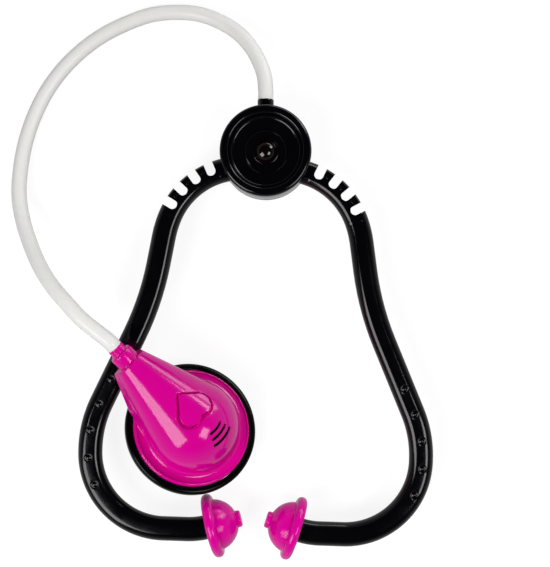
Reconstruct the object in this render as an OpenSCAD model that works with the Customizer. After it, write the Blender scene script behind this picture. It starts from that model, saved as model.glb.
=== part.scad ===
// Toy stethoscope with a sound unit in its chest piece, lying on a table as it rests.
// Millimetres, Z up. The table is z = 0 and the origin is the middle of the hub's back face.
// +Y runs from the ear tips to the hub's tube collar, and +X to the right arm.

/* [Hub] */
// Outside diameter of the round hub
hub_d = 37; // [35:0.5:40]
// Height of the hub from its back face to its rim
hub_h = 21; // [20:0.5:24]
// Width of the round rim, which is also the thickness of the hub's wall
rim_w = 3.6; // [3:0.1:4.2]
// Depth of the deck below the rim
deck_depth = 5.5; // [5:0.1:6.5]
// Thickness of the deck that carries the dish
deck_t = 2; // [1.5:0.1:3]
// Thickness of the cover on the hub's back
back_t = 2; // [1.8:0.1:3]
// How far the dish is hollowed below its edge
dish_sag = 2.2; // [1.8:0.1:2.6]
// Diameter of the fine ring inside the dish
dish_ring_d = 17; // [15:0.5:20]
// Diameter of the domed stud in the middle
stud_d = 9.6; // [8:0.1:11]
// Height of the stud's dome
stud_h = 3; // [2:0.1:4]
// Diameter of the stud's pin
stud_pin_d = 3.2; // [2.4:0.1:4]
// How far the tube collar stands out of the hub's side
collar_len = 3.1; // [2.5:0.1:5]

/* [Flex combs] */
// Distance from the hub's axis out to the middle of a comb's arc
comb_side = 8.2; // [7:0.05:10]
// Distance from the hub's axis down to the middle of a comb's arc
comb_drop = 38.7; // [37:0.1:40]
// Radius of a comb's middle line
comb_r = 32; // [31:0.1:33]
// Width of a notch between two teeth
notch_w = 3.8; // [3:0.1:4.4]
// Width of a tooth at its tip
tooth_w = 4; // [3.6:0.05:5]
// Number of notches in a comb
notch_count = 4; // [3:1:5]
// Thickness of the bending web under the notches
web_t = 4; // [3:0.1:5]
// Length of the solid end at the hub
root_land = 1.75; // [1.5:0.05:3]
// Length of the solid end at the arm
end_land = 3.7; // [2.5:0.1:4.5]

/* [Arms] */
// Width of an arm, seen from above
arm_w = 9.8; // [8.5:0.1:10.5]
// Thickness of an arm, from front to back
arm_h = 7.4; // [6:0.1:8]
// Radius along the arm's edges
arm_round = 2.4; // [1.5:0.1:2.8]
// Radius of the bend under the comb
shoulder_r = 43.3; // [30:0.1:60]
// Length of the upper straight
upper_len = 11.4; // [8:0.1:16]
// Radius of the long bend outwards
flare_r = 117.5; // [90:0.5:160]
// Length of the lower straight
lower_len = 30.7; // [25:0.1:36]
// Radius of the bend at the widest place
hip_r = 46.2; // [40:0.1:52]
// Length of the short straight at the widest place
hip_len = 1; // [0.5:0.1:3]
// Radius of the bottom bend
bottom_r = 30.8; // [25:0.1:36]
// Length of the run towards the ear tip
bottom_len = 9.6; // [6:0.1:12]
// Radius of the last bend before the ear tip
tip_r = 30; // [25:0.5:40]
// Diameter of the round marks along the lower arm
mark_d = 3.6; // [2.5:0.1:4.5]
// Depth of the round marks
mark_depth = 0.3; // [0.2:0.05:0.6]
// Distance between two marks, along the arm
mark_pitch = 11.1; // [9:0.1:12]
// Number of marks on an arm
mark_count = 5; // [3:1:6]
// Distance from the arm's upper end to the first mark
mark_start = 70.5; // [66:0.5:76]

/* [Ear tips] */
// Diameter of the wide flange, on which the headset lies
ear_flange_d = 26; // [24:0.2:28]
// Thickness of the flange
ear_flange_t = 4.2; // [3.4:0.1:5]
// Diameter of the dome where it leaves the flange
ear_dome_d = 20.6; // [18:0.2:22]
// Whole length of the ear tip
ear_len = 14; // [12.5:0.1:15.5]
// Diameter of the small end
ear_nub_d = 6.6; // [5:0.1:8]
// How far the small end stands out of the dome
ear_nub_h = 1.3; // [0.8:0.1:2]
// Diameter of the pin that holds the ear tip on its arm
ear_pin_d = 5; // [4:0.1:6]
// Length of that pin
ear_pin_len = 6.5; // [5:0.1:7.5]

/* [Tube] */
// Outside diameter of the soft tube
tube_d = 6.2; // [5.6:0.1:6.4]
// Inside diameter of the soft tube
tube_bore = 4; // [3:0.1:4.6]
// How far a nipple reaches into the tube
nipple_len = 3; // [2:0.1:5]

/* [Chest piece] */
// Outside diameter of the soft rim ring
ring_d = 54; // [52:0.5:58]
// Width of the rim ring
ring_w = 2.9; // [2.4:0.1:3.4]
// Height of the rim ring
ring_h = 4.3; // [3.6:0.1:4.6]
// Radius along the ring's outer edges
ring_round = 1.4; // [1:0.1:1.8]
// Diameter of the dome
ball_d = 37.8; // [37:0.2:39]
// Height of the dome's middle above the underside
ball_h = 5.5; // [5:0.1:6]
// Wall of the shell
shell_wall = 2; // [1.6:0.1:2.4]
// Radius of the hollow bend between the dome and the saucer
saucer_bend = 1.6; // [1:0.1:3.4]
// Radius of the fine bead along the saucer's edge
bead_r = 0.5; // [0.3:0.05:0.7]
// Distance from the dome's middle to the end of the neck
neck_reach = 36.2; // [35:0.1:40]
// Diameter of the neck at its end
neck_d = 13.5; // [12.5:0.1:14.5]
// Distance from the neck's axis down to the flat underside at its end
neck_flat = 5; // [4.6:0.1:5.8]
// Thickness of the wall at the end of the neck
neck_cap = 2.5; // [2:0.1:3.5]
// Diameter of the ferrule's wide collar
wide_collar_d = 9.5; // [8.5:0.1:10.5]
// Length of the ferrule's wide collar
wide_collar_len = 5.2; // [4:0.1:6]
// Length of the ferrule's narrow collar
narrow_collar_len = 2.9; // [2:0.1:4]
// Width of the heart button
heart_w = 13.4; // [11:0.1:14]
// How far the heart stands out of the dome
heart_rise = 0.5; // [0.3:0.05:0.9]
// Distance from the dome's middle to the heart's stem, towards the neck
heart_x = 4.4; // [4.2:0.1:5.4]
// Travel of the heart button
heart_travel = 0.8; // [0.5:0.05:1]
// Width of a sound slot
slot_w = 1; // [0.8:0.1:1.6]
// Distance between two sound slots
slot_pitch = 2.3; // [2:0.1:2.8]
// Number of sound slots
slot_count = 3; // [2:1:3]
// Radius of the first sound slot about the heart's stem
slot_r = 11.6; // [10.8:0.1:12]
// Half the length of the first sound slot
slot_half = 3; // [2:0.1:4]
// How much longer each next slot is, on each side
slot_grow = 0.9; // [0:0.1:1.2]

/* [Sound unit] */
// Thickness of the base plate
base_t = 2; // [1.8:0.1:2.6]
// Diameter of the battery door
door_d = 28; // [27.6:0.1:28.6]
// Thickness of the battery door
door_t = 1.4; // [1.2:0.1:1.6]
// Diameter of a button cell
cell_d = 11.6; // [11:0.1:11.8]
// Height of a button cell
cell_h = 5.4; // [4.5:0.1:5.6]
// Thickness of a battery contact
contact_t = 0.4; // [0.3:0.05:0.6]
// Diameter of a battery contact
contact_d = 16; // [14:0.2:17]
// Wall of the battery tray
tray_wall = 2.4; // [2:0.1:2.6]
// Diameter of the circuit board
board_d = 29; // [28:0.2:30]
// Thickness of the circuit board
board_t = 1.2; // [1:0.1:1.6]
// Width of the switch body
switch_w = 6; // [5:0.1:6.4]
// Height of the switch body
switch_h = 3.5; // [3:0.1:4]
// Diameter of the switch plunger
plunger_d = 3.4; // [2.6:0.1:3.6]
// How far the plunger stands out of the switch
plunger_rise = 1; // [0.9:0.05:1.3]
// Diameter of the speaker
speaker_d = 13; // [12:0.1:13.4]
// Height of the speaker
speaker_h = 3; // [2.5:0.1:3.4]
// Distance from the dome's middle to the middle of the speaker, away from the neck
speaker_x = 6.3; // [6.1:0.1:6.6]
// Diameter of the sound chip's drop of resin
chip_d = 6; // [4:0.1:6.4]
// Height of that drop
chip_h = 1.2; // [0.8:0.1:1.6]
// Diameter of the circle on which the base screws sit
base_screw_circle = 37; // [36.4:0.1:37.6]

/* [Screws] */
// Diameter of a screw's shank
screw_d = 1.8; // [1.6:0.1:2]
// Diameter of a screw's head
screw_head_d = 3.8; // [3.2:0.1:4]
// Height of a screw's head
screw_head_h = 1; // [0.8:0.1:1.1]
// Length of a base screw under its head
screw_len = 4.4; // [3.5:0.1:4.8]

/* [Resting pose] */
// Turn of the whole headset about the hub
headset_turn = -1.9; // [-4:0.1:4]
// Place of the chest piece's middle, across
chest_x = -31.1; // [-34:0.1:-29]
// Place of the chest piece's middle, along
chest_y = -113.2; // [-115:0.1:-111]
// Heading of the neck
chest_heading = 139.9; // [136:0.1:142]
// Lean of the chest piece about its neck
chest_lean = 26.3; // [25:0.1:29]

/* [Hidden] */
$fn = 72;
fine_fn = 360;

// Colours of the plastics and metals
black = "#141416";
magenta = "#d2048c";
milky = "#e4e3e0";
rubber = "#1a1a1c";
steel = "#b9bcc0";
brass = "#c9a850";
board_green = "#1d6b3c";
paper = "#3a3a3a";

// One gap for parts that fit into each other, one for parts that move, one overrun for every cut
fit_gap = 0.1;
move_gap = 0.3;
overrun = 0.5;
reach = 60;

// Hub levels and radii
hub_r = hub_d / 2;
hub_inner_r = hub_r - rim_w;
deck_z = hub_h - deck_depth;
boss_r = screw_d / 2 + shell_wall;
boss_circle_r = hub_inner_r - boss_r - move_gap;
boss_count = 3;
dish_r = hub_inner_r - fit_gap;
dish_floor = 0.9;
dish_edge_h = dish_floor + dish_sag;
dish_lip = 0.4;
dish_ball_r = ((dish_r - dish_lip) ^ 2 + dish_sag ^ 2) / (2 * dish_sag);
dish_bead_r = 0.5;
stud_seat_rise = 0.3;
stud_seat_h = dish_floor + stud_seat_rise;
stud_seat_margin = 0.4;
stud_pin_over = 1;

// The headset lies on its ear tips, so their flange sets the height of the arms
arm_z = ear_flange_d / 2;
arm_top = arm_z + arm_h / 2;

// Angles of the comb, counted about the middle of its arc
comb_out_r = comb_r + arm_w / 2;
comb_in_r = comb_r - arm_w / 2;
hub_distance = norm([comb_side, comb_drop]);
hub_angle = 90 + atan(comb_side / comb_drop);
hub_edge_cos = (comb_out_r ^ 2 + hub_distance ^ 2 - hub_r ^ 2) / (2 * comb_out_r * hub_distance);
hub_edge_angle = hub_angle - acos(hub_edge_cos);
root_stub = 2;
function arc_angle(length) = length / comb_out_r * 180 / PI;
root_angle = hub_edge_angle - arc_angle(root_stub);
root_inside_angle = hub_angle - 10;
notch_pitch = notch_w + tooth_w;
notch_angles = [for (i = [0:notch_count - 1])
  root_angle - arc_angle(root_land + notch_w / 2 + i * notch_pitch)];
end_angle = notch_angles[notch_count - 1] - arc_angle(notch_w / 2 + end_land);

// Angles of the arm, from straight down: outwards is positive
upper_angle = 9.3;
lower_angle = 24.1;
tip_angle = -106.5;

// The arm as a chain of legs: [length, 0] is a straight, [radius, turn] a bend.
// Straights and bends take turns, and each straight is a hair slimmer and laps into the bends beside it.
seam = 0.02;
lap = 0.5;
arm_legs = [
  [shoulder_r, upper_angle - end_angle],
  [upper_len, 0],
  [flare_r, lower_angle - upper_angle],
  [lower_len, 0],
  [hip_r, -lower_angle],
  [hip_len, 0],
  [bottom_r, -90],
  [bottom_len, 0],
  [tip_r, tip_angle + 90]
];

// Chest piece levels, from its underside
ring_r = ring_d / 2;
ring_in_r = ring_r - ring_w;
edge_r = ring_in_r - fit_gap;
neck_floor = ring_h + move_gap;
neck_sink = 0.4;
flange_top = neck_floor + neck_sink;
ball_r = ball_d / 2;
open_r = sqrt((ball_r - shell_wall) ^ 2 - (ball_h - base_t) ^ 2);
bend_x = sqrt((ball_r + saucer_bend) ^ 2 - (flange_top + saucer_bend - ball_h) ^ 2);
bend_top = ball_h + (flange_top + saucer_bend - ball_h) * ball_r / (ball_r + saucer_bend);
bead_inset = 0.8;

// The ring touches the table, and the neck lies just over the left arm
chest_z = (ring_r - ring_round) * sin(chest_lean) + ring_round * (1 - cos(chest_lean));
chest_place = [chest_x, chest_y, chest_z];
neck_r = neck_d / 2;
neck_lift = 2.2;
neck_hang = neck_flat * cos(chest_lean) + neck_r * sin(chest_lean);
neck_h = (arm_top + neck_lift + neck_hang - chest_z) / cos(chest_lean);
neck_len = norm([neck_reach, neck_h - ball_h]);
neck_slope = atan((neck_h - ball_h) / neck_reach);
neck_seat_share = 0.996;
neck_wall_share = 0.99;
under_slope = atan((neck_h - neck_flat - neck_floor) / (neck_reach - ring_in_r));

// Heart button and sound slots
heart_lobe_share = 0.52;
heart_side = heart_w / (2 * heart_lobe_share + sqrt(0.5));
heart_mid_share = 1;
heart_lip = 1;
lip_t = 1.2;
stem_r = 2;

// Levels of the sound unit
contact_z = door_t;
cell_z = contact_z + contact_t;
top_contact_z = cell_z + cell_h;
board_z = top_contact_z + contact_t;
board_top = board_z + board_t;
switch_top = board_top + switch_h;
plunger_top = switch_top + plunger_rise;
plunger_depth = 2;
cell_count = 3;
cell_circle_r = (cell_d + fit_gap) / sqrt(3) + fit_gap;
cell_cap_share = 0.86;
cell_rim_share = 0.9;
tray_r = cell_circle_r + cell_d / 2 + fit_gap;
door_gap = 0.2;
post_wall = 1.2;
post_r = screw_d / 2 + post_wall;
post_place_r = tray_r - post_r + move_gap;
base_screw_angle = 60;
post_top = top_contact_z - move_gap;
chip_shares = [0.14, 0.62];
chip_place = board_d / 2 * chip_shares;
base_screw_count = 3;
hub_screw_len = deck_z - deck_t - back_t;
speaker_rim = 0.8;
speaker_floor = 0.8;
cone_t = 0.4;
cone_dip = 1.1;
ferrule_round = 0.6;
collar_edge = 0.2;
narrow_collar_r = tube_d / 2 + collar_edge;
nipple_r = tube_bore / 2 - move_gap;
ferrule_step = 1.2;
ferrule_pin_r = wide_collar_d / 2 - ferrule_step;
ferrule_len = wide_collar_len + narrow_collar_len;

// Shared 2-D outlines

module rounded_bar(w, h, r) {
  square([w - 2 * r, h], center = true);
  square([w, h - 2 * r], center = true);
  for (x = [-1, 1], y = [-1, 1]) {
    translate([x * (w / 2 - r), y * (h / 2 - r)]) circle(r);
  }
}

module arm_section(slim = 0) {
  rounded_bar(arm_w - 2 * slim, arm_h - 2 * slim, arm_round - slim);
}

// Half section of a disc with its upper outer edge rounded
module soft_disc_half(r, h, f) {
  square([r - f, h]);
  square([r, h - f]);
  translate([r - f, h - f]) circle(f);
}

// A heart about its stem, tip towards +X, grown by g all round
module heart_2d(g) {
  s = heart_side;
  mid = heart_mid_share * s;
  translate([mid, 0]) rotate(90) {
    rotate(45) translate([-g, -g]) square(s + 2 * g);
    for (x = [-1, 1]) {
      translate([x * s / sqrt(8), 3 * s / sqrt(8)]) circle(s * heart_lobe_share + g);
    }
  }
}

// Places

// Right side of the headset, mirrored for the left
module on_side(left) {
  translate([0, 0, arm_z]) rotate(headset_turn) {
    if (left) {
      mirror([1, 0, 0]) children();
    } else {
      children();
    }
  }
}

module at_comb(angle) {
  translate([comb_side, -comb_drop, 0]) rotate(angle) children();
}

// From the comb's end, heading down the arm along +X
module at_arm_start() {
  at_comb(end_angle) translate([comb_r, 0, 0]) rotate(-90) children();
}

// Moves children to the end of one leg
module step(leg) {
  if (leg[1] == 0) {
    translate([leg[0], 0, 0]) children();
  } else {
    turn = leg[1];
    translate([leg[0] * sin(abs(turn)), sign(turn) * leg[0] * (1 - cos(turn)), 0]) rotate(turn) children();
  }
}

module at_legs_end(legs, i = 0) {
  if (i == len(legs)) {
    children();
  } else {
    step(legs[i]) at_legs_end(legs, i + 1) children();
  }
}

function leg_length(leg) = leg[1] == 0 ? leg[0] : leg[0] * abs(leg[1]) * PI / 180;
function leg_part(leg, s) = leg[1] == 0 ? [s, 0] : [leg[0], sign(leg[1]) * s / leg[0] * 180 / PI];

// Moves children to a distance along the legs
module at_distance(legs, s, i = 0) {
  if (s <= leg_length(legs[i]) || i == len(legs) - 1) {
    step(leg_part(legs[i], s)) children();
  } else {
    step(legs[i]) at_distance(legs, s - leg_length(legs[i]), i + 1) children();
  }
}

module on_chest() {
  translate(chest_place) rotate([chest_lean, 0, chest_heading]) children();
}

// Along the neck's axis, from the dome's middle
module along_neck() {
  translate([0, 0, ball_h]) rotate([0, 90 - neck_slope, 0]) children();
}

module around(count, r, first) {
  for (i = [0:count - 1]) {
    rotate(first + i * 360 / count) translate([r, 0, 0]) children();
  }
}

// Screw with its head at the bottom, its head's face at z = 0
module screw(length) {
  slot_share = 0.25;
  difference() {
    union() {
      cylinder(r = screw_head_d / 2, h = screw_head_h);
      translate([0, 0, screw_head_h - fit_gap]) cylinder(r = screw_d / 2, h = length + fit_gap);
    }
    for (a = [0, 90]) {
      rotate(a) cube([screw_head_d / 2, screw_d * slot_share, screw_head_h], center = true);
    }
  }
}

// Room for a screw: its head from below, then its shank
module screw_room(length) {
  translate([0, 0, -overrun]) cylinder(r = screw_head_d / 2 + fit_gap, h = screw_head_h + overrun);
  cylinder(r = screw_d / 2 + fit_gap, h = screw_head_h + length + fit_gap);
}

// Hub

module hub_wall() {
  rotate_extrude() {
    translate([hub_inner_r, back_t]) square([rim_w, hub_h - rim_w / 2 - back_t]);
    translate([hub_r - rim_w / 2, hub_h - rim_w / 2]) circle(rim_w / 2);
  }
}

// Short stump of the comb's arc, flat at the comb and rooted in the wall
module arm_root() {
  difference() {
    at_comb(root_angle) rotate_extrude(angle = root_inside_angle - root_angle) {
      translate([comb_r, 0]) arm_section();
    }
    translate([0, 0, -reach / 2]) cylinder(r = hub_inner_r + rim_w / 2, h = reach);
  }
}

module tube_collar() {
  translate([0, hub_r - rim_w / 2, arm_z]) rotate([-90, 0, 0]) {
    cylinder(r = narrow_collar_r, h = rim_w / 2 + collar_len);
    cylinder(r = nipple_r, h = rim_w / 2 + collar_len + nipple_len);
  }
}

module hub_cup() {
  color(black) difference() {
    union() {
      hub_wall();
      on_side(false) arm_root();
      on_side(true) arm_root();
      tube_collar();
      translate([0, 0, deck_z - deck_t]) cylinder(r = hub_inner_r + fit_gap, h = deck_t);
      around(boss_count, boss_circle_r, 90) translate([0, 0, back_t]) {
        cylinder(r = boss_r, h = deck_z - deck_t / 2 - back_t);
      }
    }
    around(boss_count, boss_circle_r, 90) screw_room(hub_screw_len);
    translate([0, 0, deck_z - deck_t - overrun]) {
      cylinder(r = stud_pin_d / 2 + fit_gap, h = deck_t + 2 * overrun);
    }
  }
}

module hub_back_cover() {
  color(black) difference() {
    cylinder(r = hub_r, h = back_t);
    around(boss_count, boss_circle_r, 90) screw_room(hub_screw_len);
  }
}

module hub_screws() {
  color(steel) around(boss_count, boss_circle_r, 90) screw(hub_screw_len);
}

// A shallow dish with a fine raised ring and a flat seat for the stud
module hub_dish() {
  ring_r_in_dish = dish_ring_d / 2;
  ring_level = dish_floor + dish_ball_r - sqrt(dish_ball_r ^ 2 - ring_r_in_dish ^ 2);
  hole_r = stud_pin_d / 2 + fit_gap;
  color(black) translate([0, 0, deck_z]) rotate_extrude() {
    difference() {
      translate([hole_r, 0]) square([dish_r - hole_r, dish_edge_h]);
      translate([0, dish_floor + dish_ball_r]) circle(dish_ball_r, $fn = fine_fn);
    }
    translate([ring_r_in_dish, ring_level]) circle(dish_bead_r);
    translate([hole_r, 0]) square([stud_d / 2 + stud_seat_margin - hole_r, stud_seat_h]);
  }
}

module hub_stud() {
  stud_r = stud_d / 2;
  dome_r = (stud_r ^ 2 + stud_h ^ 2) / (2 * stud_h);
  pin_h = stud_seat_h + deck_t + stud_pin_over;
  color("#2a1016") translate([0, 0, deck_z + stud_seat_h]) {
    intersection() {
      translate([0, 0, stud_h - dome_r]) sphere(dome_r);
      cylinder(r = dome_r, h = stud_h);
    }
    translate([0, 0, -pin_h]) cylinder(r = stud_pin_d / 2, h = pin_h + overrun);
  }
}

// Headset arms

// An arc with round-bottomed notches cut from its outer side, so that its inner web bends
module flex_comb(left) {
  notch_r = notch_w / 2;
  notch_floor_r = comb_in_r + web_t;
  color(black) on_side(left) difference() {
    at_comb(end_angle) rotate_extrude(angle = root_angle - end_angle) translate([comb_r, 0]) arm_section();
    for (a = notch_angles) {
      at_comb(a) translate([notch_floor_r + notch_r, 0, -arm_h]) {
        cylinder(r = notch_r, h = 2 * arm_h);
        translate([0, -notch_r, 0]) cube([arm_w, notch_w, 2 * arm_h]);
      }
    }
  }
}

module left_flex_comb() {
  flex_comb(true);
}

module right_flex_comb() {
  flex_comb(false);
}

// How far a straight laps into the leg beside it, no deeper than half of a short bend
function lap_into(leg) = leg[1] == 0 ? lap : min(lap, leg_length(leg) / 2);

// The arm's section swept along one leg
module leg_solid(leg, lap_before, lap_after) {
  if (leg[1] == 0) {
    translate([-lap_before, 0, 0]) rotate([90, 0, 90]) {
      linear_extrude(lap_before + leg[0] + lap_after) arm_section(seam);
    }
  } else {
    mirror([0, leg[1] < 0 ? 1 : 0, 0]) translate([0, leg[0], 0]) rotate(-90) {
      rotate_extrude(angle = abs(leg[1])) translate([leg[0], 0]) arm_section();
    }
  }
}

module legs_solid(legs, i = 0) {
  if (i < len(legs)) {
    leg_solid(legs[i], lap_into(legs[max(i - 1, 0)]), lap_into(legs[min(i + 1, len(legs) - 1)]));
    step(legs[i]) legs_solid(legs, i + 1);
  }
}

module arm(left) {
  color(black) on_side(left) at_arm_start() difference() {
    union() {
      legs_solid(arm_legs);
      at_legs_end(arm_legs) rotate([0, 90, 0]) translate([0, 0, -overrun]) {
        cylinder(r = ear_pin_d / 2, h = ear_pin_len + overrun);
      }
    }
    for (i = [0:mark_count - 1]) {
      at_distance(arm_legs, mark_start + i * mark_pitch) translate([0, 0, arm_h / 2 - mark_depth]) {
        cylinder(r = mark_d / 2, h = mark_depth + overrun);
      }
    }
  }
}

module left_arm() {
  arm(true);
}

module right_arm() {
  arm(false);
}

// A soft hat: round-edged flange, dome and small end, hollow for the arm's pin
module ear_tip(left) {
  flange_r = ear_flange_d / 2;
  flange_round = ear_flange_t / 2;
  dome_h = ear_len - ear_nub_h - ear_flange_t;
  dome_r = ((ear_dome_d / 2) ^ 2 + dome_h ^ 2) / (2 * dome_h);
  nub_round = ear_nub_h / 2;
  color(magenta) on_side(left) at_arm_start() at_legs_end(arm_legs) rotate([0, 90, 0]) rotate_extrude() {
    difference() {
      union() {
        square([flange_r - flange_round, ear_flange_t]);
        translate([flange_r - flange_round, flange_round]) circle(flange_round);
        intersection() {
          translate([0, ear_len - ear_nub_h - dome_r]) circle(dome_r);
          translate([0, flange_round]) square([dome_r, ear_len]);
        }
        soft_disc_half(ear_nub_d / 2, ear_len, nub_round);
      }
      translate([0, -overrun]) square([ear_pin_d / 2 + fit_gap, ear_pin_len + fit_gap + overrun]);
    }
  }
}

module left_ear_tip() {
  ear_tip(true);
}

module right_ear_tip() {
  ear_tip(false);
}

// Tube

function turn_x(p, a) = [p.x, p.y * cos(a) - p.z * sin(a), p.y * sin(a) + p.z * cos(a)];
function turn_z(p, a) = [p.x * cos(a) - p.y * sin(a), p.x * sin(a) + p.y * cos(a), p.z];
function chest_way(p) = turn_z(turn_x(p, chest_lean), chest_heading);
function unit(v) = v / norm(v);

neck_way = chest_way([cos(neck_slope), 0, sin(neck_slope)]);
ferrule_end = chest_place + chest_way([neck_reach, 0, neck_h]) + ferrule_len * neck_way;
collar_end = [0, hub_r + collar_len, arm_z];
tube_lead = 4;

// The tube's free run, from the hub's collar over the table to the ferrule
tube_route = concat(
  [collar_end, collar_end + [0, tube_lead, 0]],
  [
    [-1, 33, 12], [-5, 42, 10], [-11, 49.5, 8], [-19, 55, 6], [-28, 58.5, 4.5], [-38, 59.5, 3.5],
    [-48, 58.5, 3.2], [-58, 55, 3.2], [-68, 50, 3.2], [-77, 43.5, 3.2], [-85, 35.5, 3.2],
    [-91.5, 26.5, 3.2], [-96.5, 16.5, 3.2], [-100, 6, 3.4], [-102, -5, 4], [-102.3, -16.5, 5.8],
    [-100, -27, 9.2], [-96, -36.7, 14], [-91, -45.8, 19.6], [-85, -54, 24.6], [-78.4, -61, 27.9],
    [-71.5, -68, 29.4]
  ],
  [ferrule_end + tube_lead * neck_way, ferrule_end]
);
tube_last = len(tube_route) - 1;
tube_sides = 12;

function tube_way(i) =
  i == 0 ? [0, 1, 0] :
  i == tube_last ? -neck_way :
  unit(tube_route[i + 1] - tube_route[i - 1]);

function tube_ring(i, r) =
  let (way = tube_way(i), across = unit(cross(way, [0, 0, 1])), up = cross(across, way))
  [for (j = [0:tube_sides - 1])
    tube_route[i] + r * (cos(j * 360 / tube_sides) * across + sin(j * 360 / tube_sides) * up)];

// Two triangles for each side of the wall between two rings, first ring at index a, next at b
function wall_faces(a, b) = [for (j = [0:tube_sides - 1])
  let (k = (j + 1) % tube_sides)
  each [[a + j, a + k, b + k], [a + j, b + k, b + j]]];

module tube() {
  rings = tube_last + 1;
  inner = rings * tube_sides;
  points = concat(
    [for (i = [0:tube_last]) each tube_ring(i, tube_d / 2)],
    [for (i = [0:tube_last]) each tube_ring(i, tube_bore / 2)]
  );
  outer_wall = [for (i = [0:tube_last - 1]) each wall_faces((i + 1) * tube_sides, i * tube_sides)];
  inner_wall = [for (i = [0:tube_last - 1])
    each wall_faces(inner + i * tube_sides, inner + (i + 1) * tube_sides)];
  first_end = wall_faces(0, inner);
  last_end = wall_faces(inner + tube_last * tube_sides, tube_last * tube_sides);
  color(milky) polyhedron(points, concat(outer_wall, inner_wall, first_end, last_end));
}

// Two-step collar on the neck's end, with a pin into the neck and a nipple into the tube
module tube_ferrule() {
  color(magenta) on_chest() along_neck() translate([0, 0, neck_len]) {
    rotate_extrude() soft_disc_half(wide_collar_d / 2, wide_collar_len, ferrule_round);
    cylinder(r = narrow_collar_r, h = ferrule_len);
    cylinder(r = nipple_r, h = ferrule_len + nipple_len);
    translate([0, 0, -neck_cap]) cylinder(r = ferrule_pin_r, h = neck_cap + overrun);
  }
}

// Chest piece

// The neck's cone, grown by g and cut off at a length: [start, radius there, length, radius there]
function neck_cone(g, length) =
  let (
    ball = ball_r + g,
    tip = neck_r + g,
    slant = asin(ball / norm([tip, neck_len])) - atan(tip / neck_len),
    start = ball * sin(slant),
    start_r = ball * cos(slant) * neck_seat_share
  )
  [start, start_r, length, tip + (start_r - tip) * (neck_len - length) / (neck_len - start)];

// Dome and neck in one form, grown by g: a ball and a cone that runs into it
module ball_and_neck(g, length) {
  cone = neck_cone(g, length);
  translate([0, 0, ball_h]) sphere(ball_r + g);
  along_neck() translate([0, 0, cone[0]]) cylinder(r1 = cone[1], r2 = cone[3], h = length - cone[0]);
}

// The neck's straight sides, from its axis down
module neck_walls(g, length) {
  cone = neck_cone(g, length);
  near = cone[1] * neck_wall_share;
  far = cone[3] * neck_wall_share;
  along_neck() rotate([0, 90, 0]) linear_extrude(reach) {
    polygon([[-cone[0], -near], [-length, -far], [-length, far], [-cone[0], near]]);
  }
}

// All that lies below the neck's slanted underside, moved up by g
module under_neck(g) {
  translate([ring_in_r, 0, neck_floor]) rotate([0, -under_slope, 0]) {
    translate([-reach, -reach, g - 2 * reach]) cube(2 * reach);
  }
}

module below(level) {
  translate([0, 0, level - reach]) cylinder(r = reach, h = reach);
}

// Saucer under the dome, with a hollow bend up to the dome and a bead along its edge
module saucer() {
  rotate_extrude() {
    translate([open_r, base_t]) square([edge_r - open_r, flange_top - base_t]);
    translate([edge_r - bead_inset, flange_top]) circle(bead_r);
    difference() {
      translate([open_r, base_t]) square([bend_x - open_r, bend_top - base_t]);
      translate([bend_x, flange_top + saucer_bend]) circle(saucer_bend);
    }
  }
}

// The hollow inside the dome and the neck, with a floor kept over the rim ring and along the underside
module chest_hollow() {
  inner_r = ball_r - shell_wall;
  difference() {
    union() {
      ball_and_neck(-shell_wall, neck_len - neck_cap);
      neck_walls(-shell_wall, neck_len - neck_cap);
    }
    difference() {
      union() {
        below(neck_floor + shell_wall);
        under_neck(shell_wall);
      }
      translate([0, 0, -reach]) cylinder(r = inner_r, h = 2 * reach);
    }
    below(base_t);
  }
  translate([0, 0, base_t - overrun]) cylinder(r = open_r, h = ball_h - base_t + overrun);
}

// One sound slot: an arc about the heart's middle with round ends
module sound_slot(i) {
  mid_r = slot_r + i * slot_pitch;
  half = asin((slot_half + i * slot_grow) / mid_r);
  rotate(180 - half) rotate_extrude(angle = 2 * half) {
    translate([mid_r - slot_w / 2, 0]) square([slot_w, reach]);
  }
  for (a = [-half, half]) {
    rotate(180 + a) translate([mid_r, 0, 0]) cylinder(r = slot_w / 2, h = reach);
  }
}

module chest_shell() {
  color(magenta) on_chest() difference() {
    union() {
      difference() {
        union() {
          ball_and_neck(0, neck_len);
          neck_walls(0, neck_len);
        }
        below(neck_floor);
        under_neck(0);
      }
      difference() {
        translate([0, 0, ball_h]) sphere(ball_r);
        below(base_t);
      }
      saucer();
    }
    chest_hollow();
    translate([heart_x, 0, ball_h]) linear_extrude(reach) heart_2d(move_gap);
    for (i = [0:slot_count - 1]) {
      translate([heart_x, 0, ball_h]) sound_slot(i);
    }
    along_neck() translate([0, 0, neck_len - neck_cap - overrun]) {
      cylinder(r = ferrule_pin_r + fit_gap, h = neck_cap + 2 * overrun);
    }
    around(base_screw_count, base_screw_circle / 2, base_screw_angle) screw_room(screw_len);
  }
}

module rim_ring() {
  inset = ring_r - ring_round;
  color(rubber) on_chest() rotate_extrude() {
    translate([ring_in_r, 0]) square([inset - ring_in_r, ring_h]);
    translate([ring_in_r, ring_round]) square([ring_w, ring_h - 2 * ring_round]);
    for (z = [ring_round, ring_h - ring_round]) {
      translate([inset, z]) circle(ring_round);
    }
  }
}

// Heart cap that follows the dome, with a lip inside the shell and a stem down to the switch
module heart_button() {
  lip_level = -shell_wall - move_gap;
  color(magenta) on_chest() difference() {
    union() {
      intersection() {
        ball_and_neck(heart_rise, neck_len);
        translate([heart_x, 0, ball_h]) linear_extrude(reach) heart_2d(0);
      }
      intersection() {
        ball_and_neck(lip_level, neck_len - neck_cap);
        translate([heart_x, 0, ball_h]) linear_extrude(reach) heart_2d(heart_lip);
      }
    }
    difference() {
      ball_and_neck(lip_level - lip_t, neck_len - neck_cap);
      translate([heart_x, 0, plunger_top]) cylinder(r = stem_r, h = reach);
    }
    below(plunger_top);
  }
}

// Sound unit

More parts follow.
